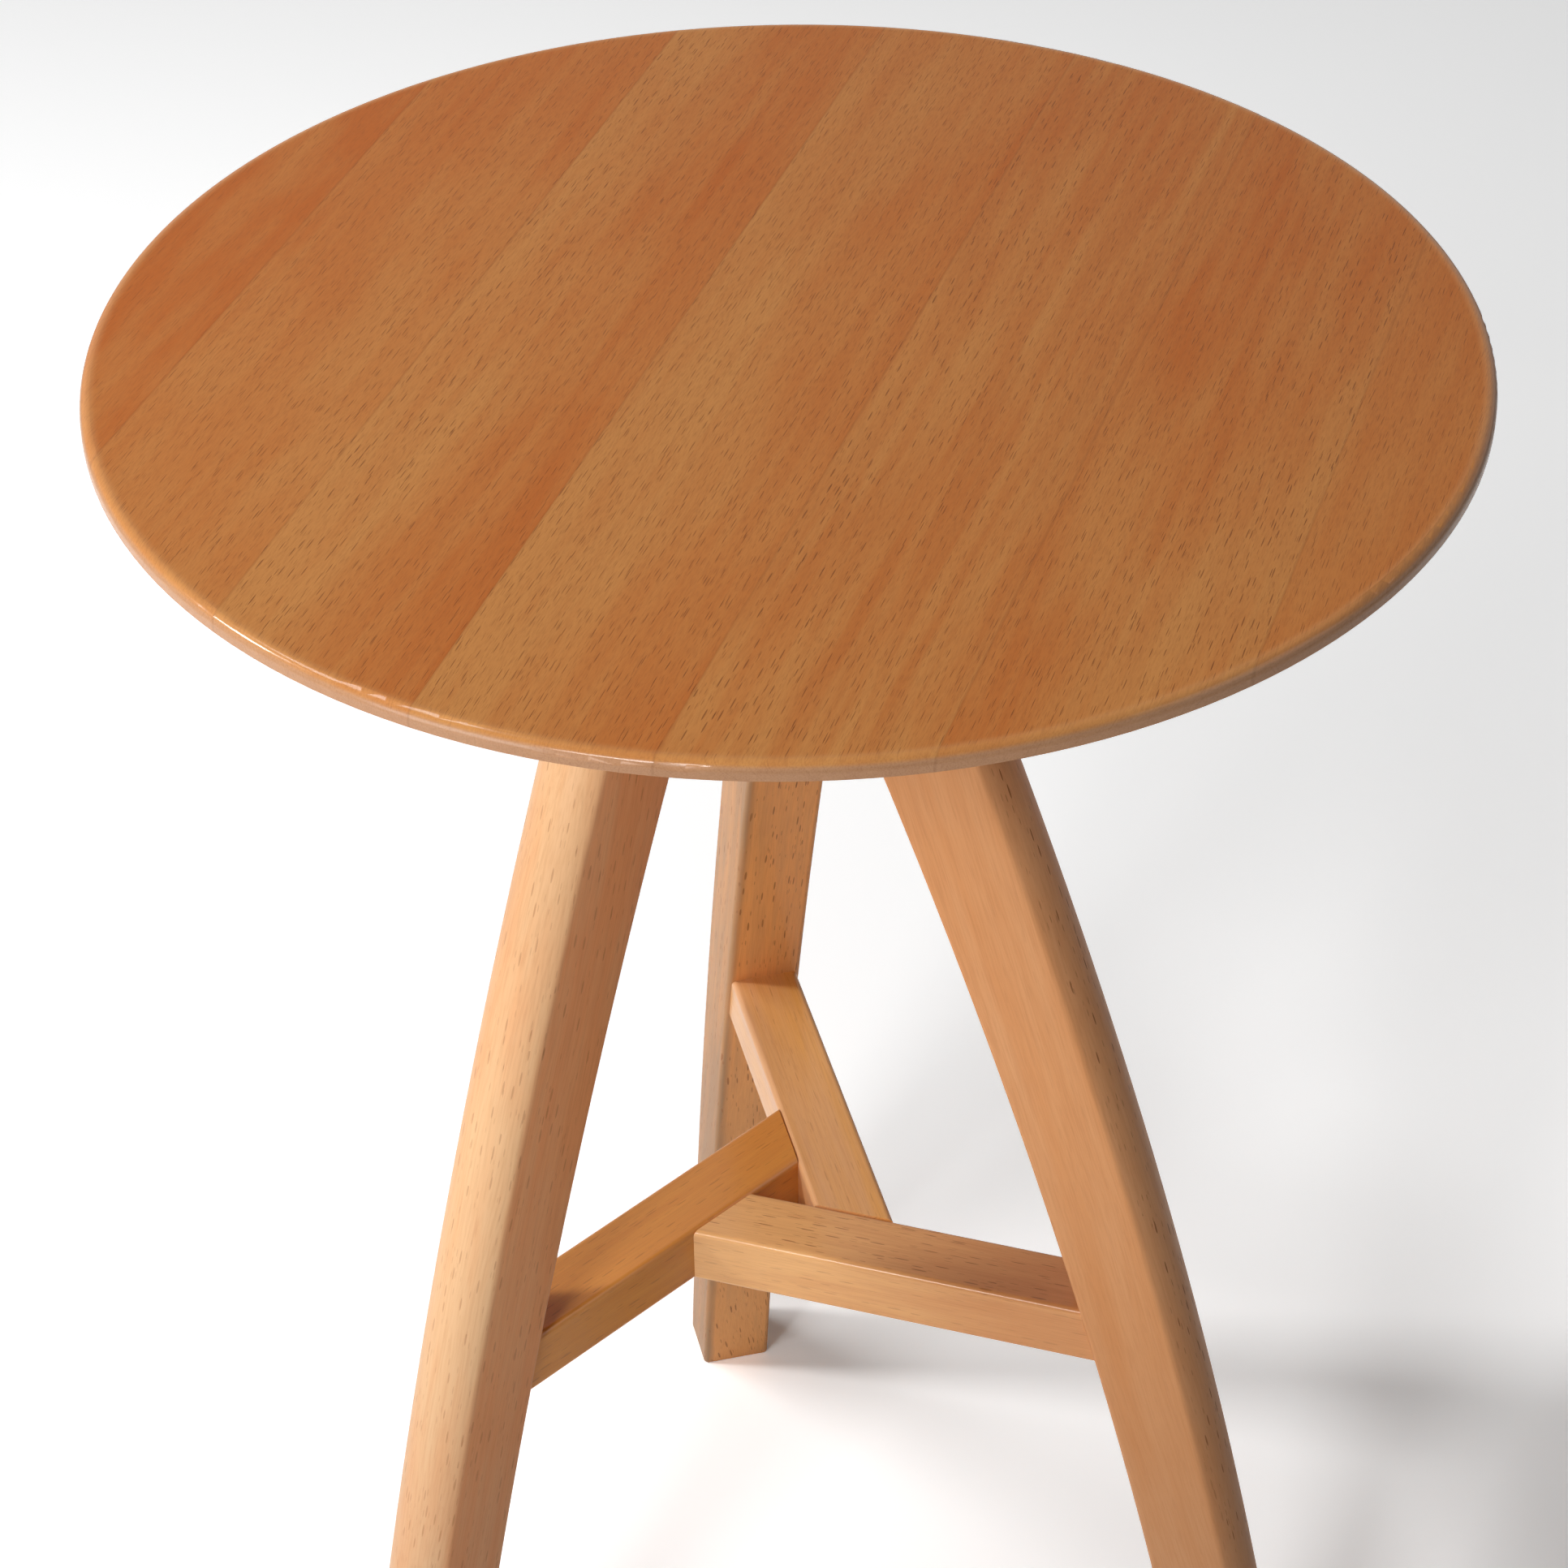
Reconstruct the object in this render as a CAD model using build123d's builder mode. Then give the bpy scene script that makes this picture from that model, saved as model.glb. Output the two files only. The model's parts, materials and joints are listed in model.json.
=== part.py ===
"""Round three-legged beech side table.

Millimetres, +Z up, origin on the floor under the centre of the top.
Three curved legs and three stretchers stand in a pinwheel: each leg and its stretcher
share one upright slab that passes beside the centre line, and each stretcher ends
against the side of the next one.
"""
import os
from math import asin, atan2, cos, degrees, hypot, radians, sin

from build123d import *

# overall
overall_height = 595.0
top_diameter = 400.0

# top, edge-glued from staves
top_thickness = 18.0
rim_height = 5.0            # from the top face down to the bevel
underbevel_width = 30.0     # how far the bevel runs in under the edge
rim_top_radius = 3.0
rim_bottom_radius = 0.8
stave_count = 7
panel_waste = 51.0          # how much wider the glued panel is than the top sawn from it
stave_shift = 2.0           # centre stave's middle line, to the right of the table's centre
stave_angle = 57.0          # direction of the grain, degrees from +X

# leg and stretcher stock
slab_middle = 18.1          # middle of each leg and its stretcher, beside the centre line
leg_width = 27.0
stretcher_width = 24.0

# legs
leg_foot_reach = 165.5      # inner face at the floor, from the centre line
leg_top_reach = 1.5         # inner face at the plate
leg_foot_depth = 29.5       # inner face to the crest of the outer face
leg_top_depth = 41.0
leg_bow = 16.4              # rise of the curve over its chord
leg_crown = 6.2             # rise of the rounded outer face over its two corners
leg_inner_radius = 2.0
leg_outer_radius = 3.0
foot_radius = 0.8

# stretchers
stretcher_top = 260.0
stretcher_height = 22.0
stretcher_radius = 2.0

# plate between legs and top
plate_diameter = 180.0
plate_thickness = 16.0
plate_chamfer = 3.0

# screws that hold the top, in slots that let the wood move
screw_circle = 144.0
screw_count = 6
screw_diameter = 4.0
screw_in_top = 13.0         # how far the screws go into the staves
screw_point = 4.0
screw_head_diameter = 8.0
screw_head_height = 2.5
screw_recess = 4.0
screw_drive_width = 1.2
screw_drive_span = 4.6
screw_drive_depth = 1.4
slot_travel = 4.0
slot_clearance = 0.5
washer_diameter = 12.0
washer_thickness = 1.0
washer_clearance = 0.4
recess_clearance = 0.6

# bolt and barrel nut at the head of each leg
bolt_from_inner_face = 28.0
bolt_diameter = 6.0
bolt_length = 45.0
bolt_head_diameter = 12.0
bolt_head_sink = 0.3
bolt_socket_width = 4.0
bolt_socket_depth = 2.2
bolt_clearance = 1.0
bolt_end_room = 3.0
nut_diameter = 10.0
nut_length = 16.0
bolt_past_nut = 0.8

# dowels
head_dowel_from_inner_face = 14.0
head_dowel_diameter = 8.0
head_dowel_length = 25.0
head_dowel_in_plate = 11.0
stretcher_dowel_diameter = 6.0
stretcher_dowel_length = 30.0
stretcher_dowel_spacing = 11.0
centre_dowel_diameter = 6.0
centre_dowel_length = 24.0
dowel_end_room = 1.0

# derived heights and places
top_radius = top_diameter / 2
top_underside = overall_height - top_thickness
stave_width = (top_diameter + panel_waste) / stave_count
plate_underside = top_underside - plate_thickness
leg_side = slab_middle - leg_width / 2
stretcher_side = slab_middle - stretcher_width / 2
stretcher_middle = stretcher_top - stretcher_height / 2
screw_seat = plate_underside + screw_recess
screw_neck = screw_seat - washer_thickness
screw_tip = top_underside + screw_in_top
bolt_head_top = top_underside - bolt_head_sink
bolt_end = bolt_head_top - bolt_length
bolt_reach = leg_top_reach + bolt_from_inner_face
nut_middle = bolt_end + bolt_past_nut + nut_diameter / 2
head_dowel_reach = leg_top_reach + head_dowel_from_inner_face
head_dowel_top = plate_underside + head_dowel_in_plate
head_dowel_end = head_dowel_top - head_dowel_length

# the pinwheel: each stretcher ends on the side of the one clockwise of it
leg_names = ("rear", "right", "left")
leg_spacing = 360 / len(leg_names)
leg_angles = {name: 90 - step * leg_spacing for step, name in enumerate(leg_names)}
meeting_angle = 180 - leg_spacing

os.makedirs("parts", exist_ok=True)


def save(builder, name):
    builder.part.label = name
    export_step(builder.part, f"parts/{name}.step")


def direction(angle):
    return Vector(cos(radians(angle)), sin(radians(angle)), 0)


def slab_plane(angle):
    """Side view of one leg: x runs outwards, y runs up, and z crosses the slab."""
    return Plane(origin=(0, 0, 0), x_dir=direction(angle), z_dir=direction(angle - 90))


def bow_arc(foot_reach, head_reach):
    """Centre, radius and half angle of a leg's curve in side view, floor to plate."""
    run = foot_reach - head_reach
    chord = hypot(run, plate_underside)
    radius = (chord**2 / 4 + leg_bow**2) / (2 * leg_bow)
    to_centre = radius - leg_bow
    centre_reach = (foot_reach + head_reach) / 2 - to_centre * plate_underside / chord
    centre_height = plate_underside / 2 - to_centre * run / chord
    return centre_reach, centre_height, radius, asin(chord / 2 / radius)


inner_arc = bow_arc(leg_foot_reach, leg_top_reach)
outer_arc = bow_arc(leg_foot_reach + leg_foot_depth, leg_top_reach + leg_top_depth)


def inner_reach(height):
    """Distance of the leg's inner face from the centre line at a height."""
    reach, centre, radius, _ = inner_arc
    return reach + (radius**2 - (height - centre) ** 2) ** 0.5


def meeting_reach(across):
    """Where a stretcher's end lies, at a distance across from the centre line."""
    return -(stretcher_side + across * cos(radians(meeting_angle))) / sin(radians(meeting_angle))


def leg_side_profile(depth):
    """Side view of a leg's curved inner face, and everything outside it to a depth."""
    foot = (leg_foot_reach, 0)
    head = (leg_top_reach, plate_underside)
    with BuildSketch() as profile:
        with BuildLine():
            SagittaArc(foot, head, -leg_bow)
            Polyline(head, (head[0] + depth, head[1]), (foot[0] + depth, 0), foot)
        make_face()
    return profile.sketch


def stretcher_dowels(angle, room, mode):
    """The pair of dowels from a stretcher's outer end into its leg."""
    half_length = stretcher_dowel_length / 2 + room
    outer_end = direction(angle) * (inner_reach(stretcher_middle) + half_length)
    inwards = Plane(origin=outer_end, x_dir=direction(angle - 90), z_dir=-direction(angle))
    with BuildSketch(inwards) as circles:
        with Locations((slab_middle, stretcher_middle)):
            with GridLocations(stretcher_dowel_spacing, 0, 2, 1):
                Circle(stretcher_dowel_diameter / 2)
    extrude(circles.sketch, amount=2 * half_length, mode=mode)


def centre_dowel(angle, room, mode):
    """The dowel through the end of one stretcher into the side of the next."""
    next_angle = angle - leg_spacing
    end = direction(angle) * meeting_reach(slab_middle) + direction(angle - 90) * slab_middle
    along_next = end.dot(direction(next_angle))
    face = slab_plane(next_angle)
    half_length = centre_dowel_length / 2 + room
    with BuildSketch(face.offset(stretcher_side - half_length)) as circle:
        with Locations((along_next, stretcher_middle)):
            Circle(centre_dowel_diameter / 2)
    extrude(circle.sketch, amount=2 * half_length, mode=mode)


def head_place(angle, reach):
    place = direction(angle) * reach + direction(angle - 90) * slab_middle
    return (place.X, place.Y)


# ---- top ----
def stave_edges(index):
    """Where a stave's two long sides lie, to the right of the table's centre."""
    left = stave_shift + (index - stave_count / 2) * stave_width
    return left, left + stave_width


def top_screw_places():
    turns = [radians(stave_angle + 360 * step / screw_count) for step in range(screw_count)]
    return [(screw_circle / 2 * cos(turn), screw_circle / 2 * sin(turn)) for turn in turns]


for index in range(stave_count):
    left, right = stave_edges(index)
    with BuildPart() as stave:
        with BuildSketch(Plane.XZ):
            with BuildLine():
                Polyline(
                    (0, top_underside),
                    (top_radius - underbevel_width, top_underside),
                    (top_radius, overall_height - rim_height),
                    (top_radius, overall_height),
                    (0, overall_height),
                    (0, top_underside),
                )
            make_face()
            lower, upper = vertices().group_by(Axis.X)[-1].sort_by(Axis.Y)
            fillet(upper, rim_top_radius)
            fillet(lower, rim_bottom_radius)
        revolve(axis=Axis.Z)
        across = Plane(origin=(0, 0, 0), x_dir=direction(stave_angle), z_dir=(0, 0, 1))
        with BuildSketch(across.offset(top_underside - 1)):
            with Locations((0, -(left + right) / 2)):
                Rectangle(2 * top_diameter, right - left)
        extrude(amount=top_thickness + 2, mode=Mode.INTERSECT)
        with BuildSketch(Plane.XY.offset(top_underside)):
            with Locations(*top_screw_places()):
                Circle(screw_diameter / 2)
        extrude(amount=screw_tip - top_underside, mode=Mode.SUBTRACT)
    save(stave, f"top_stave_{index + 1}")


# ---- legs ----
def section_plane(angle, arc, foot_reach):
    """Where a leg's curve starts below the floor: x crosses the slab, y runs outwards."""
    reach, height, _, half_angle = arc
    turn = atan2(-height, foot_reach - reach) - half_angle / 2
    outwards = direction(angle) * cos(turn) + Vector(0, 0, sin(turn))
    centre = direction(angle) * reach + Vector(0, 0, height)
    across = direction(angle - 90)
    return Plane(origin=centre, x_dir=across, z_dir=across.cross(outwards))


def sweep_along_leg(section, angle, arc, mode):
    """Turns a section about the centre of a leg's curve, past the floor and the plate."""
    centre = direction(angle) * arc[0] + Vector(0, 0, arc[1])
    axis = Axis(centre, direction(angle - 90))
    revolve(section, axis=axis, revolution_arc=degrees(3 * arc[3]), mode=mode)


def outer_section(angle):
    """The crowned outer face, its two softened corners and everything inside it."""
    crest = outer_arc[2]
    corner = crest - leg_crown
    inside = crest - 2 * leg_top_depth
    near, far = leg_side, leg_side + leg_width
    plane = section_plane(angle, outer_arc, leg_foot_reach + leg_foot_depth)
    with BuildSketch(plane) as section:
        with BuildLine():
            ThreePointArc((near, corner), (slab_middle, crest), (far, corner))
            Polyline((far, corner), (far, inside), (near, inside), (near, corner))
        make_face()
        fillet(section.vertices().group_by(Axis.Y)[-1], leg_outer_radius)
    return section.sketch


def inner_section(angle):
    """The flat inner face, its two rounded corners and everything outside it."""
    plane = section_plane(angle, inner_arc, leg_foot_reach)
    with BuildSketch(plane) as section:
        with Locations((slab_middle, inner_arc[2] + leg_top_depth)):
            Rectangle(leg_width, 2 * leg_top_depth)
        fillet(section.vertices().group_by(Axis.Y)[0], leg_inner_radius)
    return section.sketch


for name, angle in leg_angles.items():
    bolt_place = head_place(angle, bolt_reach)
    with BuildPart() as leg:
        sweep_along_leg(outer_section(angle), angle, outer_arc, Mode.ADD)
        sweep_along_leg(inner_section(angle), angle, inner_arc, Mode.INTERSECT)
        split(bisect_by=Plane.XY, keep=Keep.TOP)
        split(bisect_by=Plane.XY.offset(plate_underside), keep=Keep.BOTTOM)
        fillet(leg.faces().sort_by(Axis.Z)[0].edges(), foot_radius)
        with BuildSketch(Plane.XY.offset(plate_underside)):
            with Locations(bolt_place):
                Circle((bolt_diameter + bolt_clearance) / 2)
        extrude(amount=bolt_end - bolt_end_room - plate_underside, mode=Mode.SUBTRACT)
        with BuildSketch(Plane.XY.offset(plate_underside)):
            with Locations(head_place(angle, head_dowel_reach)):
                Circle(head_dowel_diameter / 2)
        extrude(amount=head_dowel_end - dowel_end_room - plate_underside, mode=Mode.SUBTRACT)
        with BuildSketch(slab_plane(angle).offset(leg_side)):
            with Locations((bolt_reach, nut_middle)):
                Circle(nut_diameter / 2)
        extrude(amount=(leg_width + nut_length) / 2, mode=Mode.SUBTRACT)
        stretcher_dowels(angle, dowel_end_room, Mode.SUBTRACT)
    save(leg, f"leg_{name}")


# ---- stretchers ----
for name, angle in leg_angles.items():
    along = Axis((0, 0, 0), direction(angle))
    with BuildPart() as stretcher:
        with BuildSketch(slab_plane(angle).offset(stretcher_side)):
            with Locations((0, stretcher_middle)):
                Rectangle(2 * leg_foot_reach, stretcher_height)
            add(leg_side_profile(2 * leg_foot_reach), mode=Mode.SUBTRACT)
        extrude(amount=stretcher_width)
        split(bisect_by=slab_plane(angle - leg_spacing).offset(stretcher_side), keep=Keep.BOTTOM)
        fillet(stretcher.edges().filter_by(along), stretcher_radius)
        stretcher_dowels(angle, dowel_end_room, Mode.SUBTRACT)
        centre_dowel(angle, dowel_end_room, Mode.SUBTRACT)
        centre_dowel(angle + leg_spacing, dowel_end_room, Mode.SUBTRACT)
    save(stretcher, f"stretcher_{name}")


# ---- plate that carries the top ----
def slots(width, length):
    with Locations(*top_screw_places()):
        SlotOverall(length, width, rotation=stave_angle - 90)


with BuildPart() as top_plate:
    with BuildSketch(Plane.XY.offset(plate_underside)):
        Circle(plate_diameter / 2)
    extrude(amount=plate_thickness)
    chamfer(top_plate.edges().group_by(Axis.Z)[0], plate_chamfer)
    with BuildSketch(Plane.XY.offset(plate_underside)):
        slots(screw_diameter + slot_clearance, screw_diameter + slot_clearance + slot_travel)
    extrude(amount=plate_thickness, mode=Mode.SUBTRACT)
    with BuildSketch(Plane.XY.offset(plate_underside)):
        slots(washer_diameter + recess_clearance, washer_diameter + recess_clearance + slot_travel)
    extrude(amount=screw_recess, mode=Mode.SUBTRACT)
    with BuildSketch(Plane.XY.offset(plate_underside)):
        with Locations(*[head_place(angle, head_dowel_reach) for angle in leg_angles.values()]):
            Circle(head_dowel_diameter / 2)
    extrude(amount=head_dowel_in_plate + dowel_end_room, mode=Mode.SUBTRACT)
    bolt_places = [head_place(angle, bolt_reach) for angle in leg_angles.values()]
    with Locations(*[(x, y, top_underside) for x, y in bolt_places]):
        CounterSinkHole(
            radius=(bolt_diameter + bolt_clearance) / 2,
            counter_sink_radius=bolt_head_diameter / 2 + bolt_head_sink,
            depth=plate_thickness,
            counter_sink_angle=90,
        )
save(top_plate, "top_plate")


# ---- screws and washers under the plate ----
with BuildPart() as top_screws:
    with BuildSketch(Plane.XY.offset(screw_neck - screw_head_height)):
        with Locations(*top_screw_places()):
            Circle(screw_head_diameter / 2)
    extrude(amount=screw_head_height)
    fillet(top_screws.edges().group_by(Axis.Z)[0], screw_head_height / 2)
    with BuildSketch(Plane.XY.offset(screw_neck)):
        with Locations(*top_screw_places()):
            Circle(screw_diameter / 2)
    extrude(amount=screw_tip - screw_point - screw_neck)
    with Locations(*[(x, y, screw_tip - screw_point / 2) for x, y in top_screw_places()]):
        Cone(screw_diameter / 2, screw_diameter / 8, screw_point)
    with BuildSketch(Plane.XY.offset(screw_neck - screw_head_height)):
        with Locations(*top_screw_places()):
            Rectangle(screw_drive_span, screw_drive_width)
            Rectangle(screw_drive_width, screw_drive_span)
    extrude(amount=screw_drive_depth, mode=Mode.SUBTRACT)
save(top_screws, "top_screws")

with BuildPart() as screw_washers:
    with BuildSketch(Plane.XY.offset(screw_neck)):
        with Locations(*top_screw_places()):
            Circle(washer_diameter / 2)
            Circle((screw_diameter + washer_clearance) / 2, mode=Mode.SUBTRACT)
    extrude(amount=washer_thickness)
save(screw_washers, "screw_washers")


# ---- bolts, barrel nuts and dowels ----
with BuildPart() as leg_bolts:
    head_height = (bolt_head_diameter - bolt_diameter) / 2
    with BuildSketch(Plane.XY.offset(bolt_head_top)):
        with Locations(*bolt_places):
            Circle(bolt_diameter / 2)
    extrude(amount=-bolt_length)
    with Locations(*[(x, y, bolt_head_top - head_height / 2) for x, y in bolt_places]):
        Cone(bolt_diameter / 2, bolt_head_diameter / 2, head_height)
    with BuildSketch(Plane.XY.offset(bolt_head_top)):
        with Locations(*bolt_places):
            RegularPolygon(bolt_socket_width / 2, 6, major_radius=False)
    extrude(amount=-bolt_socket_depth, mode=Mode.SUBTRACT)
save(leg_bolts, "leg_bolts")

with BuildPart() as barrel_nuts:
    for angle in leg_angles.values():
        with BuildSketch(slab_plane(angle).offset(slab_middle - nut_length / 2)):
            with Locations((bolt_reach, nut_middle)):
                Circle(nut_diameter / 2)
        extrude(amount=nut_length)
    with BuildSketch(Plane.XY.offset(plate_underside)):
        with Locations(*bolt_places):
            Circle(bolt_diameter / 2)
    extrude(amount=-bolt_length, mode=Mode.SUBTRACT)
save(barrel_nuts, "barrel_nuts")

with BuildPart() as leg_head_dowels:
    with BuildSketch(Plane.XY.offset(head_dowel_end)):
        with Locations(*[head_place(angle, head_dowel_reach) for angle in leg_angles.values()]):
            Circle(head_dowel_diameter / 2)
    extrude(amount=head_dowel_length)
save(leg_head_dowels, "leg_head_dowels")

with BuildPart() as stretcher_leg_dowels:
    for angle in leg_angles.values():
        stretcher_dowels(angle, 0, Mode.ADD)
save(stretcher_leg_dowels, "stretcher_leg_dowels")

with BuildPart() as stretcher_centre_dowels:
    for angle in leg_angles.values():
        centre_dowel(angle, 0, Mode.ADD)
save(stretcher_centre_dowels, "stretcher_centre_dowels")
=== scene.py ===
import json
from math import asin, cos, hypot, pi, radians, sin, tan

import bpy
from mathutils import Matrix, Vector

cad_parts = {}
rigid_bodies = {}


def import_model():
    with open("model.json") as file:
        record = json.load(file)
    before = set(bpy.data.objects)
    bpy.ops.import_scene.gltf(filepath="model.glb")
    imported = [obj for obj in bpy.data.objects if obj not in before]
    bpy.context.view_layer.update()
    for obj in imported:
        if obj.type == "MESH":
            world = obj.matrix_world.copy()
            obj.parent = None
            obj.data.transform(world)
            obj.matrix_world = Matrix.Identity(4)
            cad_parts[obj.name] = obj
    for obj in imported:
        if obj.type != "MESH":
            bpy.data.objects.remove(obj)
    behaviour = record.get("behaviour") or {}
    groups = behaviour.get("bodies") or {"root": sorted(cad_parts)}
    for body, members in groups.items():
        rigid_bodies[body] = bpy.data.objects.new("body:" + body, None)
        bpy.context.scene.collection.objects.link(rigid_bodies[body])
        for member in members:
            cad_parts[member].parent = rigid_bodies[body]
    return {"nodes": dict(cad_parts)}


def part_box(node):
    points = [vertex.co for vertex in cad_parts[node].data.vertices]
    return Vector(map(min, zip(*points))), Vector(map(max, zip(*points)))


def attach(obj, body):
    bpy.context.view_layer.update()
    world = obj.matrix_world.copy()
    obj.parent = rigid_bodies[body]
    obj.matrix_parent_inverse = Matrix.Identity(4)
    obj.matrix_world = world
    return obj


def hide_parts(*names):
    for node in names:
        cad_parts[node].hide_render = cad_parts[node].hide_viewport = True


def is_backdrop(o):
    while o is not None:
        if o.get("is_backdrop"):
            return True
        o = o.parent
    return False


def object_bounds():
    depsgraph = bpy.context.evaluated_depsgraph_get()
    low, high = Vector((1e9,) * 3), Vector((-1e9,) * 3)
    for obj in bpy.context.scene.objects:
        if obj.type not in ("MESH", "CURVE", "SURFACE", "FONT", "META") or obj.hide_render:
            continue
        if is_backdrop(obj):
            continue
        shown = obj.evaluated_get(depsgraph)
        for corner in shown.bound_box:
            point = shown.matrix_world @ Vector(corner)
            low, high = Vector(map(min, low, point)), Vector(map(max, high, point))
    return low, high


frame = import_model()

lowest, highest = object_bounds()


class Socket:
    # one output of a node, so that shader maths reads like ordinary arithmetic
    def __init__(self, tree, output):
        self.tree = tree
        self.output = output

    def __add__(self, other):
        return self.tree.maths("ADD", self, other)

    def __radd__(self, other):
        return self.tree.maths("ADD", other, self)

    def __sub__(self, other):
        return self.tree.maths("SUBTRACT", self, other)

    def __rsub__(self, other):
        return self.tree.maths("SUBTRACT", other, self)

    def __mul__(self, other):
        return self.tree.maths("MULTIPLY", self, other)

    def __rmul__(self, other):
        return self.tree.maths("MULTIPLY", other, self)

    def __truediv__(self, other):
        return self.tree.maths("DIVIDE", self, other)

    def __rtruediv__(self, other):
        return self.tree.maths("DIVIDE", other, self)

    def __pow__(self, other):
        return self.tree.maths("POWER", self, other)

    def __rpow__(self, other):
        return self.tree.maths("POWER", other, self)

    def clamp(self):
        return self.tree.add("ShaderNodeClamp", {}, [self])[0]

    def fade(self, start, end):
        # 0 at start, 1 at end, eased at both
        return self.tree.add("ShaderNodeMapRange", {"interpolation_type": "SMOOTHSTEP"},
                             {"Value": self, "From Min": start, "From Max": end})[0]


class Tree:
    def __init__(self, owner):
        owner.use_nodes = True
        self.nodes = owner.node_tree.nodes
        self.links = owner.node_tree.links
        self.nodes.clear()

    # every node is made here: its type, its settings, then what goes into its sockets
    def add(self, kind, settings=None, values=None):
        node = self.nodes.new(kind)
        for name, value in (settings or {}).items():
            setattr(node, name, value)
        pairs = values.items() if isinstance(values, dict) else enumerate(values or [])
        for name, value in pairs:
            if isinstance(value, Socket):
                self.links.new(value.output, node.inputs[name])
            else:
                node.inputs[name].default_value = value
        return [Socket(self, output) for output in node.outputs]

    def maths(self, operation, *values):
        return self.add("ShaderNodeMath", {"operation": operation}, values)[0]

    def place(self):
        return self.add("ShaderNodeTexCoord")[3]          # the Object output

    def split(self, vector):
        return self.add("ShaderNodeSeparateXYZ", {}, [vector])

    def join(self, x, y, z):
        return self.add("ShaderNodeCombineXYZ", {}, [x, y, z])[0]

    def firstChannel(self, colour):
        return self.add("ShaderNodeSeparateColor", {}, [colour])[0]

    def mixColour(self, factor, first, second, blend="MIX"):
        # sockets 6 and 7 and output 2 are the node's colours
        settings = {"data_type": "RGBA", "blend_type": blend}
        return self.add("ShaderNodeMix", settings, {0: factor, 6: first, 7: second})[2]

    def noise(self, vector, scale=1.0, detail=2.0, roughness=0.5):
        values = {"Vector": vector, "Scale": scale, "Detail": detail, "Roughness": roughness}
        return self.add("ShaderNodeTexNoise", {}, values)[0]

    def seen(self):
        # 1 for what the camera sees, also by reflection and through glass
        path = self.add("ShaderNodeLightPath")
        camera, glossy, transmission = path[0], path[3], path[6]
        return (camera + glossy + transmission).clamp()


# lengths in metres; a Fade is the two values of a pattern where it begins and where it is full
beechLook = dict(
    pale=(0.525, 0.218, 0.058, 1),
    red=(0.460, 0.119, 0.018, 1),
    leastRed=0.08,               # share of red where warmth is 0
    redReach=0.84,               # and what warmth 1 adds to it
    ringWidth=0.0050,            # between growth rings, on average
    ringFade=(0.30, 0.70),
    ringShade=0.26,
    ringWander=0.0040,           # how far the rings wander,
    wanderScale=(5, 14),         # and how often, per metre along the board and across
    streakLength=0.085,          # soft streaks of tone along the grain
    streakWidth=0.0042,
    streakFade=(0.28, 0.72),
    streakShade=0.40,
    blotchScale=(9, 34),         # broad patches of tone, per metre along the board and across
    blotchFade=(0.30, 0.70),
    blotchShade=0.36,
    fibreColour=(0.230, 0.070, 0.018, 1),
    fibreLength=0.0040,
    fibreWidth=0.00045,
    fibreFade=(0.36, 0.76),
    fibreShade=0.24,
    streakFibre=0.10,            # how much of the fibres' colour the streaks take on
    fleckColour=(0.165, 0.047, 0.010, 1),
    fleckLength=0.0074,          # one ray fleck to a cell: along the grain,
    fleckGap=0.0013,             # round the pith
    fleckDepth=0.0050,           # and out from it
    fleckShort=1.2,              # how much shorter than its cell a fleck is,
    fleckThin=5.2,               # and how much thinner
    fleckFade=(0.46, 0.34),      # its soft edge, in cells from its middle
    fleckShare=0.80,             # how many of the possible flecks are there,
    fleckFaint=0.03,             # and how many of them are faint
    fleckShade=0.75,
    fineFleck=0.6,               # size and strength of the finer flecks between them
    roughness=0.5,
    specular=0.05,
    coat=0.15,
    coatRoughness=0.16,
    relief=0.10,
    reliefDepth=0.0002,
    fleckRelief=0.8,
    fibreRelief=0.3,
    # what differs from board to board: strengths first
    streaks=1.0,
    blotches=1.0,
    flecks=1.0,
    ends=0.0,                    # painted shade: how much redder the board's end at +x is than the other,
    endReach=0.05,               # and how far from its middle that is reached
    paintedSideShade=0.0,                   # painted light and shade: how much redder a bowed leg is away from its lit outer face,
    sideShadeFade=(0.0122, 0.0080),  # measured outwards from its bowed middle line
    sideShadeLean=0.0099,            # how much wider the red side gets for each metre up the leg
    clear=None,                  # across the board: where the flecks start to show, and where they all do
    clearLeast=0.07,             # what is left of them before
    paintedFootShade=None,               # painted shade: colour that darkens the foot of a leg
    footFade=(0.08, -0.17),      # along the leg, from its middle
    glueLines=0.0,               # how dark the joints with the next boards are
    glueFade=(0.0006, 0.0001),   # in from the board's two sides
    rim=0.0,                     # radius of the round top that the board is part of
    rimFade=(0.0050, 0.0020),    # in from that radius
    rimDrop=(0.0006, 0.0017),    # down from the top's face
    # painted light: a yellower band on the rounding of the top's edge, then a paler side, partly the end
    # grain's own tone and partly painted light
    paintedLightTurnColour=(0.60, 0.275, 0.070, 1),
    paintedLightTurnShare=0.45,
    rimGrainAndLightColour=(0.47, 0.260, 0.145, 1),
    rimGrainAndLightShare=0.80,
    rimClear=0.80,               # how far the flecks give way at the rim
    rimCoat=0.35,
)


def woodAxes(tree, look, place):
    # along the grain, across the board and through it, then out from the pith and round it
    grain = tree.add("ShaderNodeMapping", {"vector_type": "TEXTURE"},
                     {"Vector": place, "Location": look["middle"], "Rotation": look["turn"]})[0]
    along, across, through = tree.split(grain)
    lengthwise, crosswise = look["wanderScale"]
    drift = tree.join(along * lengthwise + look["seed"], across * crosswise, through * crosswise)
    drift = (tree.noise(drift) - 0.5) * look["ringWander"]
    side = across - look["pith"][0]
    depth = through - look["pith"][1]
    outwards = (side * side + depth * depth) ** 0.5 + drift * 2
    around = tree.maths("ARCTAN2", side, depth) * hypot(*look["pith"]) + drift
    return along, across, through, outwards, around


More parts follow.
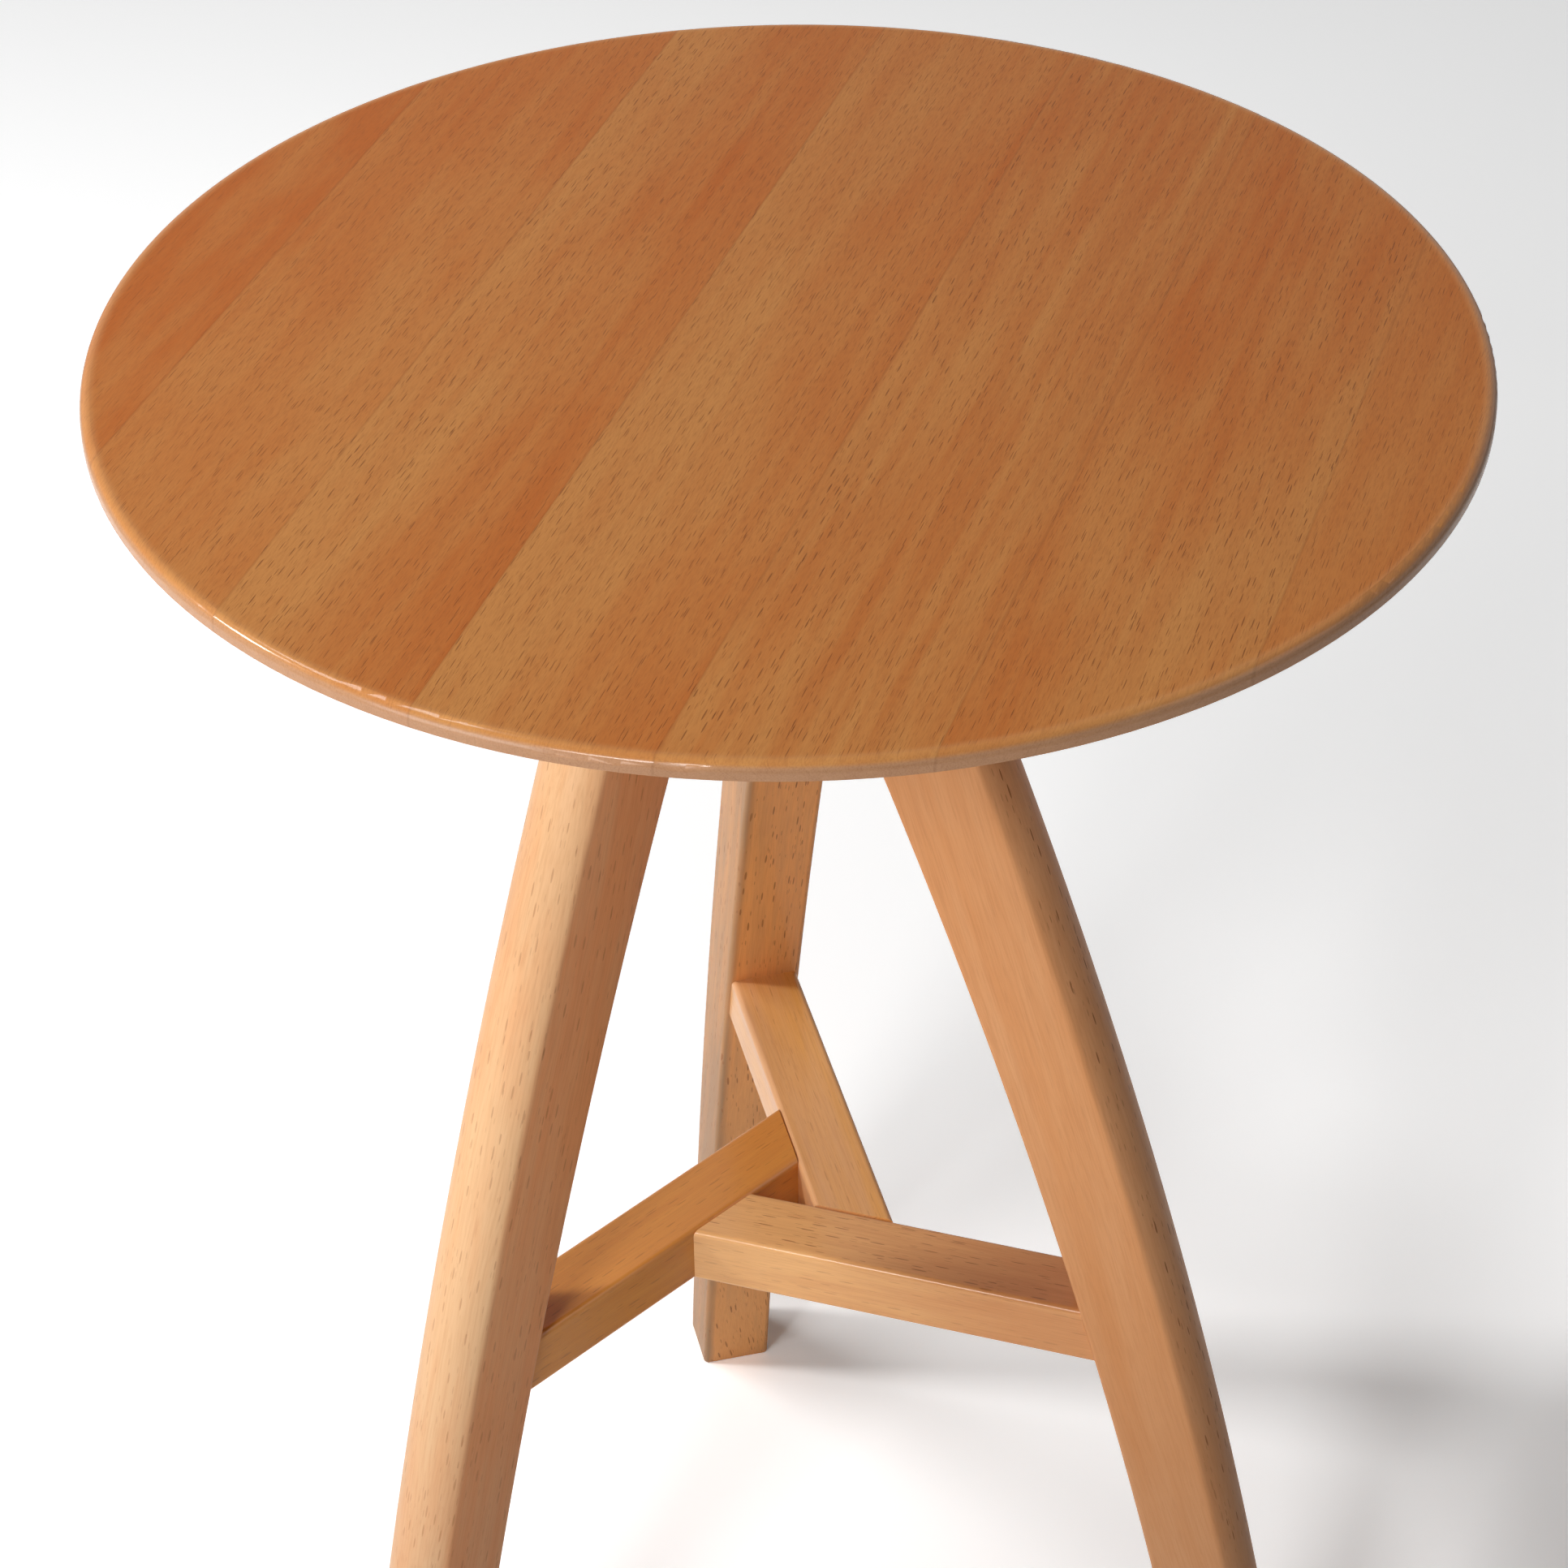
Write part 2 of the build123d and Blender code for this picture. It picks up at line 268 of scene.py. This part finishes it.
def boardWarmth(look, along, across, through):
    # 0 where the board is pale, 1 where it is red
    crossing = (across / look["width"] + 0.5).clamp()
    warmth = crossing * (look["warmth"][1] - look["warmth"][0]) + look["warmth"][0]
    # painted light and shade: pale on a leg's lit outer face, redder on its shaded sides
    if look["paintedSideShade"]:
        toEnd = along / look["halfLength"]
        outOfLitFace = through + (toEnd * toEnd - 1) * look["bow"] - along * look["sideShadeLean"]
        warmth = warmth + outOfLitFace.fade(*look["sideShadeFade"]) * look["paintedSideShade"]
    # painted shade, redder towards the board's end at +x
    if look["ends"]:
        warmth = warmth + along.fade(-look["endReach"], look["endReach"]) * look["ends"]
    return warmth.clamp()


def rayFlecks(tree, look, along, outwards, around, size, offset):
    # the short dark flecks of a flat-sawn face, which are lines on end grain
    cells = tree.join(along / (look["fleckLength"] * size) + offset,
                      around / (look["fleckGap"] * size) + offset,
                      outwards / look["fleckDepth"] + look["seed"])
    tint, middle = tree.add("ShaderNodeTexVoronoi", {"feature": "F1"}, {"Vector": cells, "Scale": 1.0})[1:3]
    away = tree.add("ShaderNodeVectorMath", {"operation": "SUBTRACT"}, [cells, middle])[0]
    away = tree.add("ShaderNodeVectorMath", {"operation": "MULTIPLY"},
                    [away, (look["fleckShort"], look["fleckThin"], 1)])[0]
    reach = tree.add("ShaderNodeVectorMath", {"operation": "LENGTH"}, [away])[1]
    there = (tree.firstChannel(tint) + look["fleckShare"]).fade(1.0, 1.0 + look["fleckFaint"])
    return reach.fade(*look["fleckFade"]) * there


def beech(name, board):
    # board: middle, turn (x runs along the grain), pith (across, through), seed, width, warmth at
    # its two sides, and what differs from beechLook
    look = dict(beechLook, **board)
    seed = look["seed"]
    material = bpy.data.materials.new(name)
    tree = Tree(material)
    place = tree.place()
    along, across, through, outwards, around = woodAxes(tree, look, place)

    # growth rings, an uneven run of bands; each pattern starts from its own multiple of the seed
    run = {"W": outwards / look["ringWidth"] + seed * 7, "Scale": 0.5, "Detail": 3.0, "Roughness": 0.6}
    rings = tree.add("ShaderNodeTexNoise", {"noise_dimensions": "1D"}, run)[0].fade(*look["ringFade"])

    # softer streaks that end along the board, and broad patches
    streaks = tree.join(along / look["streakLength"] + seed * 5,
                        around / look["streakWidth"], outwards / look["streakWidth"])
    streaks = tree.noise(streaks, detail=3.0, roughness=0.55).fade(*look["streakFade"])
    lengthwise, crosswise = look["blotchScale"]
    blotches = tree.join(along * lengthwise + seed * 3, across * crosswise, through * crosswise)
    blotches = tree.noise(blotches, detail=3.0, roughness=0.55).fade(*look["blotchFade"])

    tone = boardWarmth(look, along, across, through) * look["redReach"] + look["leastRed"]
    tone = tone + (rings - 0.5) * (look["ringShade"] * look["streaks"])
    tone = tone + (streaks - 0.5) * (look["streakShade"] * look["streaks"])
    tone = tone + (blotches - 0.5) * (look["blotchShade"] * look["blotches"])
    colour = tree.mixColour(tone.clamp(), look["pale"], look["red"])

    if look["rim"]:
        # painted light at the edge of the top: yellower towards it, and paler down its side, which is
        # partly the end grain's own tone and partly painted light
        x, y, z = tree.split(place)
        rimStart, rimFull = look["rimFade"]
        dropStart, dropFull = look["rimDrop"]
        atRim = ((x * x + y * y) ** 0.5).fade(look["rim"] - rimStart, look["rim"] - rimFull)
        downRim = z.fade(look["crest"] - dropStart, look["crest"] - dropFull) * atRim
        colour = tree.mixColour(atRim * look["paintedLightTurnShare"], colour, look["paintedLightTurnColour"])
        colour = tree.mixColour(downRim * look["rimGrainAndLightShare"], colour, look["rimGrainAndLightColour"])
    if look["paintedFootShade"]:
        # painted shade, darker towards the foot of a leg
        colour = tree.mixColour(along.fade(*look["footFade"]), colour, look["paintedFootShade"], "MULTIPLY")

    fibres = tree.join(along / look["fibreLength"] + seed,
                       around / look["fibreWidth"], outwards / look["fibreWidth"])
    fibres = tree.noise(fibres, roughness=0.6).fade(*look["fibreFade"])
    threads = fibres * look["fibreShade"] + streaks * (look["streakFibre"] * look["streaks"])
    colour = tree.mixColour(threads, colour, look["fibreColour"])

    coarse = rayFlecks(tree, look, along, outwards, around, 1, seed * 13)
    fine = rayFlecks(tree, look, along, outwards, around, look["fineFleck"], seed * 5)
    marks = (coarse + fine * look["fineFleck"]) * (look["fleckShade"] * look["flecks"])
    if look["clear"]:
        # sawn so that the rays show on one side more than on the other
        marks = marks * (across.fade(*look["clear"]) * (1 - look["clearLeast"]) + look["clearLeast"])
    if look["rim"]:
        marks = marks * (1 - atRim * look["rimClear"])
    colour = tree.mixColour(marks.clamp(), colour, look["fleckColour"])
    if look["glueLines"]:
        toSide = look["width"] / 2 - tree.maths("ABSOLUTE", across)
        line = toSide.fade(*look["glueFade"]) * look["glueLines"]
        colour = tree.mixColour(line, colour, look["fleckColour"])

    coat = look["coat"]
    if look["rim"]:
        coat = atRim * look["rimCoat"] + coat
    height = 1 - marks * look["fleckRelief"] - fibres * look["fibreRelief"]
    bump = tree.add("ShaderNodeBump", {},
                    {"Strength": look["relief"], "Distance": look["reliefDepth"], "Height": height})[0]
    shader = tree.add("ShaderNodeBsdfPrincipled", {}, {
        "Base Color": colour, "Roughness": look["roughness"], "Normal": bump,
        "Specular IOR Level": look["specular"], "Coat Weight": coat,
        "Coat Roughness": look["coatRoughness"]})[0]
    tree.add("ShaderNodeOutputMaterial", {}, [shader])
    return material


def wear(name, material):
    # puts a finish on a node of the frame, or on a piece modelled here
    piece = frame["nodes"].get(name) or bpy.data.objects[name]
    piece.data.materials.clear()
    piece.data.materials.append(material)


# the round top, of staves glued edge to edge
staves = dict(
    grainTurn=57.0,                # degrees from +X
    radius=0.200,
    glueLines=0.20,
    ends=0.30,                     # painted shade: how much redder the far end of each stave is than the near one
    endReach=0.12,
    firstSeed=1.3,
    seedStep=3.7,
    # one row a stave, from the left: warmth at its left and right side, then what differs
    boards=(
        dict(warmth=(0.68, 0.68), streaks=0.4, flecks=0.5, pith=(0.050, 0.060), blotches=2.0),
        dict(warmth=(0.28, 0.34), streaks=0.45, flecks=0.9, pith=(-0.030, 0.090), blotches=1.1),
        dict(warmth=(-0.10, 0.68), streaks=0.6, flecks=1.0, pith=(0.040, 0.080)),
        dict(warmth=(-0.10, 0.58), streaks=0.6, flecks=1.0, pith=(-0.010, 0.110)),
        dict(warmth=(0.34, 0.28), streaks=0.9, flecks=0.9, pith=(0.060, 0.060)),
        dict(warmth=(0.50, 0.16), streaks=0.7, flecks=1.0, pith=(-0.040, 0.070), blotches=1.2),
        dict(warmth=(0.34, 0.42), streaks=0.5, flecks=0.8, pith=(0.020, 0.090)),
    ),
)


def dressTop():
    turn = radians(staves["grainTurn"])
    right = Vector((sin(turn), -cos(turn), 0))
    for index, row in enumerate(staves["boards"]):
        name = f"top_stave_{index + 1}"
        offsets = [vertex.co.dot(right) for vertex in frame["nodes"][name].data.vertices]
        near, far = min(offsets), max(offsets)
        low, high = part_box(name)
        middle = right * (near + far) / 2
        middle.z = (low.z + high.z) / 2
        # half a turn about the grain puts the board's y to the right and its z down
        board = dict(row, middle=middle, turn=(pi, 0, turn), width=far - near, crest=high.z,
                     seed=index * staves["seedStep"] + staves["firstSeed"], rim=staves["radius"],
                     glueLines=staves["glueLines"], ends=staves["ends"], endReach=staves["endReach"])
        wear(name, beech(f"beechStave{index + 1}", board))
    print("top dressed")


# degrees from +X to each leg and its stretcher
legAngles = {"rear": 90, "right": 330, "left": 210}

legShape = dict(
    height=0.561,            # floor to the plate
    inFoot=0.1655,           # inner face at the floor, out from the middle of the table
    inHead=0.0015,           # and at the plate
    outFoot=0.1950,          # crest of the outer face at the floor
    outHead=0.0425,          # and at the plate
    bow=0.0164,              # rise of both curves over their chords
    width=0.0270,
    blank=0.034,             # depth of the straight bar that the leg is made from
    aside=0.0181,            # middle of the leg, beside the middle of the table
    crown=0.0062,            # rise of the outer face over its corners
    inner=dict(radius=0.0020, steps=5),      # rounded edges
    outer=dict(radius=0.0030, steps=4),
    foot=dict(radius=0.0008, steps=3),
    rings=44,
    columns=12,
    smoothUnder=35,          # degrees
    nutHole=dict(place=(0.0295, -0.0046, 0.5375), radius=0.0050, depth=0.0215, sides=48),
)
closeBy = 1e-4               # metres that count as the same place


def pick(piece, mode, test):
    # selects what passes the test: vertices by place, edges by their two ends, faces by their middle
    bpy.ops.object.mode_set(mode="OBJECT")
    mesh = piece.data
    for vertex in mesh.vertices:
        vertex.select = mode == "VERT" and test(vertex.co)
    for edge in mesh.edges:
        edge.select = mode == "EDGE" and test(*(mesh.vertices[end].co for end in edge.vertices))
    for face in mesh.polygons:
        face.select = mode == "FACE" and test(face.center)
    bpy.ops.object.mode_set(mode="EDIT")
    bpy.ops.mesh.select_mode(type=mode)


def sawBlank():
    # a straight bar, upright beside the x axis: x runs outwards, y across, z up
    tall, wide, deep = legShape["height"], legShape["width"], legShape["blank"]
    middle = (deep / 2, -legShape["aside"], tall / 2)
    bpy.ops.object.select_all(action="DESELECT")
    bpy.ops.mesh.primitive_cube_add(size=1, location=middle, scale=(deep, wide, tall))
    bpy.ops.object.transform_apply(location=True, rotation=True, scale=True)
    return bpy.context.object


def shapeSection(leg):
    # columns across, the outer side set back from its crest along a circle, then rounded corners
    tall, wide, deep, columns = (legShape[key] for key in ("height", "width", "blank", "columns"))
    low, high = -legShape["aside"] - wide / 2, -legShape["aside"] + wide / 2
    for step in range(1, columns):
        bpy.ops.object.mode_set(mode="EDIT")
        bpy.ops.mesh.select_all(action="SELECT")
        bpy.ops.mesh.bisect(plane_co=(0, low + wide * step / columns, 0), plane_no=(0, 1, 0))
    crownRadius = (wide * wide / 4 + legShape["crown"] ** 2) / (2 * legShape["crown"])
    for step in range(columns + 1):
        y = low + wide * step / columns
        setBack = crownRadius - (crownRadius ** 2 - (y + legShape["aside"]) ** 2) ** 0.5
        pick(leg, "VERT", lambda at: at.x > deep - closeBy and abs(at.y - y) < closeBy)
        bpy.ops.transform.translate(value=(-setBack, 0, 0))

    def corner(start, end):
        return abs(start.z - end.z) > tall / 2 and min(abs(start.y - low), abs(start.y - high)) < closeBy

    inner, outer = legShape["inner"], legShape["outer"]
    pick(leg, "EDGE", lambda start, end: corner(start, end) and start.x > deep / 2)
    sharpness = pi / 4 - asin(wide / 2 / crownRadius) / 2
    bpy.ops.mesh.bevel(offset=outer["radius"] * tan(sharpness), segments=outer["steps"], profile=0.5)
    pick(leg, "EDGE", lambda start, end: corner(start, end) and start.x < deep / 2)
    bpy.ops.mesh.bevel(offset=inner["radius"], segments=inner["steps"], profile=0.5)


def reachAt(height, foot, head):
    # a bowed line through foot and head: how far out it is, and how steeply it leans, at a height
    tall, rise = legShape["height"], legShape["bow"]
    chord = hypot(foot - head, tall)
    radius = (chord * chord / 4 + rise * rise) / (2 * rise)
    centreOut = (foot + head) / 2 - (radius - rise) * tall / chord
    centreUp = tall / 2 - (radius - rise) * (foot - head) / chord
    out = (radius * radius - (height - centreUp) ** 2) ** 0.5
    return centreOut + out, radius / out


def bendLeg(leg):
    # rings up the leg, each moved out to the curves of the outer and the inner face
    tall, deep, rings = legShape["height"], legShape["blank"], legShape["rings"]
    pick(leg, "EDGE", lambda start, end: abs(start.z - end.z) > tall / 2)
    bpy.ops.mesh.subdivide(number_cuts=rings - 1)
    for ring in range(rings + 1):
        z = tall * ring / rings
        out, lean = reachAt(z, legShape["outFoot"], legShape["outHead"])
        pick(leg, "VERT", lambda at: abs(at.z - z) < closeBy and at.x > deep / 2)
        bpy.ops.transform.resize(value=(lean, 1, 1), center_override=(deep, 0, z))
        bpy.ops.transform.translate(value=(out - deep, 0, 0))
        out, lean = reachAt(z, legShape["inFoot"], legShape["inHead"])
        pick(leg, "VERT", lambda at: abs(at.z - z) < closeBy and at.x < deep / 2)
        bpy.ops.transform.resize(value=(lean, 1, 1), center_override=(0, 0, z))
        bpy.ops.transform.translate(value=(out, 0, 0))


def softenFoot(leg):
    pick(leg, "FACE", lambda at: at.z < closeBy)
    bpy.ops.mesh.dissolve_faces()
    bpy.ops.mesh.region_to_loop()
    bpy.ops.mesh.bevel(offset=legShape["foot"]["radius"], segments=legShape["foot"]["steps"], profile=0.5)
    bpy.ops.object.mode_set(mode="OBJECT")


def drillLeg(leg):
    # the hole for the barrel nut, in the side nearer the middle
    hole = legShape["nutHole"]
    bpy.ops.object.select_all(action="DESELECT")
    bpy.ops.mesh.primitive_cylinder_add(
        vertices=hole["sides"], radius=hole["radius"], depth=hole["depth"] * 2,
        location=hole["place"], rotation=(pi / 2, 0, 0))
    drill = bpy.context.object
    cut = leg.modifiers.new("nutHole", "BOOLEAN")
    cut.object = drill
    bpy.context.view_layer.objects.active = leg
    bpy.ops.object.modifier_apply(modifier="nutHole")
    bpy.data.objects.remove(drill)


def placeLegs():
    pattern = sawBlank()
    shapeSection(pattern)
    bendLeg(pattern)
    softenFoot(pattern)
    drillLeg(pattern)
    for side, angle in legAngles.items():
        bpy.ops.object.select_all(action="DESELECT")
        pattern.select_set(True)
        bpy.context.view_layer.objects.active = pattern
        bpy.ops.object.duplicate()
        leg = bpy.context.object
        leg.name = f"leg{side.title()}"
        leg.rotation_euler.z = radians(angle)
        bpy.ops.object.transform_apply(location=True, rotation=True, scale=True)
        bpy.ops.object.shade_smooth_by_angle(angle=radians(legShape["smoothUnder"]))
        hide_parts(f"leg_{side}")
        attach(leg, "root")
    bpy.data.objects.remove(pattern)
    print("legs modelled")


# finish of the legs, the stretchers and the plate
members = dict(
    width=0.027,
    endBand=0.002,                       # of a leg's mesh, taken as its foot or its head
    look=dict(pale=(0.74, 0.350, 0.155, 1), red=(0.70, 0.280, 0.100, 1),
              fibreColour=(0.44, 0.165, 0.055, 1), fibreLength=0.018, fibreWidth=0.0005, fibreShade=0.22,
              fleckColour=(0.30, 0.105, 0.035, 1), fleckLength=0.0078, fleckGap=0.0027, fleckDepth=0.0030,
              fleckThin=5.5, fleckShare=0.50, fleckShade=0.90),
    paintedFootShade=(0.80, 0.83, 0.90, 1),      # painted shade: the legs darken a little towards the floor
    stretcherCoat=0.50,
    seeds=dict(leg=20.0, legStep=4.1, stretcher=40.0, stretcherStep=3.3),
    legs={
        # painted light and shade: the rear leg's lit left side takes the greyer pale, its shaded faces the
        # red
        "rear": dict(warmth=(-0.40, 9.0), streaks=0.8, flecks=0.8, pith=(0.040, -0.035),
                     pale=(0.44, 0.248, 0.120, 1), red=(0.91, 0.405, 0.131, 1)),
        "right": dict(warmth=(0.20, 0.42), streaks=0.9, flecks=1.0, pith=(-0.036, -0.040),
                      clear=(0.0128, 0.0095),
                      pale=(0.72, 0.355, 0.160, 1), red=(0.68, 0.290, 0.105, 1)),
        # painted light and shade: the pale colour stands for the light on the outer face, the red for the
        # shaded sides
        "left": dict(warmth=(0.0, 0.0), paintedSideShade=1.0, streaks=0.65, flecks=0.40, pith=(0.038, -0.036),
                     pale=(0.745, 0.455, 0.240, 1), red=(0.80, 0.340, 0.138, 1)),
    },
    stretchers={
        "rear": dict(warmth=(0.10, 0.90), streaks=0.7, flecks=0.25, pith=(0.030, -0.040),
                     pale=(0.74, 0.405, 0.200, 1), red=(0.84, 0.410, 0.098, 1)),
        # painted shade: redder towards the leg, where the top of the stretcher lies in shade
        "right": dict(warmth=(0.0, 0.0), ends=1.0, streaks=0.7, flecks=0.7, pith=(-0.030, -0.040),
                      clear=(0.011, 0.006),
                      pale=(0.82, 0.450, 0.182, 1), red=(0.65, 0.285, 0.105, 1)),
        "left": dict(warmth=(0.45, 0.65), streaks=0.7, flecks=0.45, pith=(0.030, -0.050),
                     pale=(0.72, 0.320, 0.070, 1), red=(0.62, 0.230, 0.050, 1)),
    },
    plate=dict(warmth=(0.3, 0.4), streaks=0.7, flecks=0.7, pith=(0.05, -0.06), middle=(0, 0, 0.569),
               turn=(0, 0, radians(-33)), seed=61.0, width=0.18),
)


def middleOf(vertices):
    return sum((vertex.co for vertex in vertices), Vector()) / len(vertices)


def boardTurn(along, across):
    return Matrix((along, across, along.cross(across))).transposed().to_euler()


def dressLeg(side, number, across):
    vertices = frame["nodes"][f"leg_{side}"].data.vertices
    low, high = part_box(f"leg_{side}")
    foot = middleOf([vertex for vertex in vertices if vertex.co.z < low.z + members["endBand"]])
    head = middleOf([vertex for vertex in vertices if vertex.co.z > high.z - members["endBand"]])
    board = dict(members["look"], **members["legs"][side], paintedFootShade=members["paintedFootShade"],
                 width=members["width"], bow=legShape["bow"], halfLength=(head - foot).length / 2,
                 middle=(foot + head) / 2, turn=boardTurn((head - foot).normalized(), across),
                 seed=members["seeds"]["leg"] + number * members["seeds"]["legStep"])
    wear(f"leg{side.title()}", beech(f"beechLeg{side.title()}", board))


def dressStretcher(side, number, outwards, across):
    low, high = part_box(f"stretcher_{side}")
    board = dict(members["look"], **members["stretchers"][side], coat=members["stretcherCoat"],
                 width=members["width"], middle=(low + high) / 2, turn=boardTurn(outwards, across),
                 seed=members["seeds"]["stretcher"] + number * members["seeds"]["stretcherStep"])
    wear(f"stretcher_{side}", beech(f"beechStretcher{side.title()}", board))


def dressMembers():
    for number, (side, angle) in enumerate(legAngles.items()):
        outwards = Vector((cos(radians(angle)), sin(radians(angle)), 0))
        across = Vector((outwards.y, -outwards.x, 0))
        dressLeg(side, number, across)
        dressStretcher(side, number, outwards, across)
    wear("top_plate", beech("beechPlate", dict(members["look"], **members["plate"])))
    print("legs, stretchers and plate dressed")


# dowels and hardware
fittings = dict(
    dowels=("leg_head_dowels", "stretcher_leg_dowels", "stretcher_centre_dowels"),
    dowel=dict(warmth=(0.2, 0.3), streaks=0.6, flecks=0.8, pith=(0.05, -0.02), middle=(0, 0, 0.4),
               turn=(0, pi / 2, 0), width=0.5, coat=0.0,
               pale=(0.72, 0.450, 0.250, 1), red=(0.64, 0.360, 0.180, 1)),
    dowelSeed=80.0,
    dowelStep=2.9,
    steels=("top_screws", "screw_washers", "leg_bolts", "barrel_nuts"),
    steelStep=0.37,              # metres that the zinc's pattern shifts from one kind to the next
)

zincLook = dict(
    bright=(0.66, 0.67, 0.66, 1),
    dull=(0.44, 0.45, 0.46, 1),
    spangleScale=900,            # per metre
    spangleShade=0.3,
    cloudScale=140,
    cloudFade=(0.3, 0.7),
    cloudShade=0.7,
    turnedScale=420,             # fine marks round the shanks
    turnedStretch=14,
    roughness=0.24,
    cloudRoughness=0.18,
    turnedRoughness=0.10,
    relief=0.15,
    reliefDepth=0.0001,
    cloudRelief=0.4,
)


def zincSteel(name, shift):
    look = zincLook
    material = bpy.data.materials.new(name)
    tree = Tree(material)
    moved = tree.add("ShaderNodeMapping", {}, {"Vector": tree.place(), "Location": (shift, 0, 0)})[0]
    crystals = {"Vector": moved, "Scale": look["spangleScale"]}
    spangle = tree.firstChannel(tree.add("ShaderNodeTexVoronoi", {"feature": "F1"}, crystals)[1])
    cloud = tree.noise(moved, look["cloudScale"], detail=4.0, roughness=0.6).fade(*look["cloudFade"])
    stretch = (1, 1, look["turnedStretch"])
    stretched = tree.add("ShaderNodeMapping", {}, {"Vector": moved, "Scale": stretch})[0]
    turned = tree.noise(stretched, look["turnedScale"], roughness=0.6)
    colour = tree.mixColour(cloud * look["cloudShade"] + spangle * look["spangleShade"],
                            look["bright"], look["dull"])
    height = turned + cloud * look["cloudRelief"]
    bump = tree.add("ShaderNodeBump", {},
                    {"Strength": look["relief"], "Distance": look["reliefDepth"], "Height": height})[0]
    roughness = cloud * look["cloudRoughness"] + turned * look["turnedRoughness"] + look["roughness"]
    shader = tree.add("ShaderNodeBsdfPrincipled", {}, {
        "Base Color": colour, "Metallic": 1.0, "Roughness": roughness, "Normal": bump})[0]
    tree.add("ShaderNodeOutputMaterial", {}, [shader])
    return material


def dressFittings():
    for number, name in enumerate(fittings["dowels"]):
        seed = fittings["dowelSeed"] + number * fittings["dowelStep"]
        wear(name, beech(f"beechDowel{number + 1}", dict(fittings["dowel"], seed=seed)))
    for number, name in enumerate(fittings["steels"]):
        wear(name, zincSteel(f"zinc{number + 1}", number * fittings["steelStep"]))
    print("dowels and hardware dressed")


studio = dict(
    floorWide=30,
    floorColour=(0.90, 0.90, 0.90, 1),
    floorSeen=(1.30, 1.30, 1.30, 1),     # as the camera sees it
    floorGlow=(0.05, 0.30),              # under the table and far from it
    glowReach=(0.25, 1.1),               # metres from its middle
    aim=(0, 0, 0.3),
    lampsAway=2.2,
    # where each lamp stands: degrees round from +X and degrees up
    lamps=(
        dict(name="key", around=165, up=38, size=0.28, watts=21),
        dict(name="high", around=150, up=62, size=0.60, watts=14),
        dict(name="low", around=210, up=12, size=1.0, watts=18),
        dict(name="front", around=230, up=38, size=0.40, watts=15),
        dict(name="right", around=330, up=38, size=1.0, watts=4.2),
    ),
)


def layFloor():
    bpy.ops.object.select_all(action="DESELECT")
    bpy.ops.mesh.primitive_plane_add(size=studio["floorWide"], location=(0, 0, lowest.z))
    floor = bpy.context.object
    floor.name = "floor"
    material = bpy.data.materials.new("paleFloor")
    tree = Tree(material)
    seen = tree.seen()
    colour = tree.mixColour(seen, studio["floorColour"], studio["floorSeen"])
    matt = tree.add("ShaderNodeBsdfDiffuse", {}, {"Color": colour})[0]
    x, y = tree.split(tree.place())[:2]
    near, far = studio["floorGlow"]
    level = ((x * x + y * y) ** 0.5).fade(*studio["glowReach"]) * (far - near) + near
    glow = tree.add("ShaderNodeEmission", {}, {"Color": seen * level})[0]
    both = tree.add("ShaderNodeAddShader", {}, [matt, glow])[0]
    tree.add("ShaderNodeOutputMaterial", {}, [both])
    floor.data.materials.append(material)
    floor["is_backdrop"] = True


def hangLamps():
    aim = Vector(studio["aim"])
    for lamp in studio["lamps"]:
        around, up = radians(lamp["around"]), radians(lamp["up"])
        towards = Vector((cos(around) * cos(up), sin(around) * cos(up), sin(up)))
        bpy.ops.object.light_add(type="AREA", location=aim + towards * studio["lampsAway"])
        light = bpy.context.object
        light.name = lamp["name"] + "Lamp"
        light.data.shape = "SQUARE"
        light.data.size = lamp["size"]
        light.data.energy = lamp["watts"]
        light.rotation_euler = towards.to_track_quat("Z", "Y").to_euler()


def lightStudio():
    layFloor()
    world = bpy.data.worlds.new("studio")
    bpy.context.scene.world = world
    tree = Tree(world)
    background = tree.add("ShaderNodeBackground", {}, {"Color": (1, 1, 1, 1), "Strength": tree.seen()})[0]
    tree.add("ShaderNodeOutputWorld", {}, [background])
    hangLamps()
    print("studio lit")


cameraView = dict(
    place=(-0.21688, -0.87454, 1.13855),
    turn=(54.328, 2.252, -11.705),       # degrees
    lens=84.24,
    shift=(0.128, -0.096),
    nearest=0.01,
)


def placeCamera():
    turn = [radians(angle) for angle in cameraView["turn"]]
    bpy.ops.object.camera_add(location=cameraView["place"], rotation=turn)
    camera = bpy.context.object
    camera.data.lens = cameraView["lens"]
    camera.data.shift_x, camera.data.shift_y = cameraView["shift"]
    camera.data.clip_start = cameraView["nearest"]
    bpy.context.scene.camera = camera
    bpy.context.scene.view_settings.view_transform = "Standard"
    print("camera placed")


placeLegs()
dressTop()
dressMembers()
dressFittings()
lightStudio()
placeCamera()

lowest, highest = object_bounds()
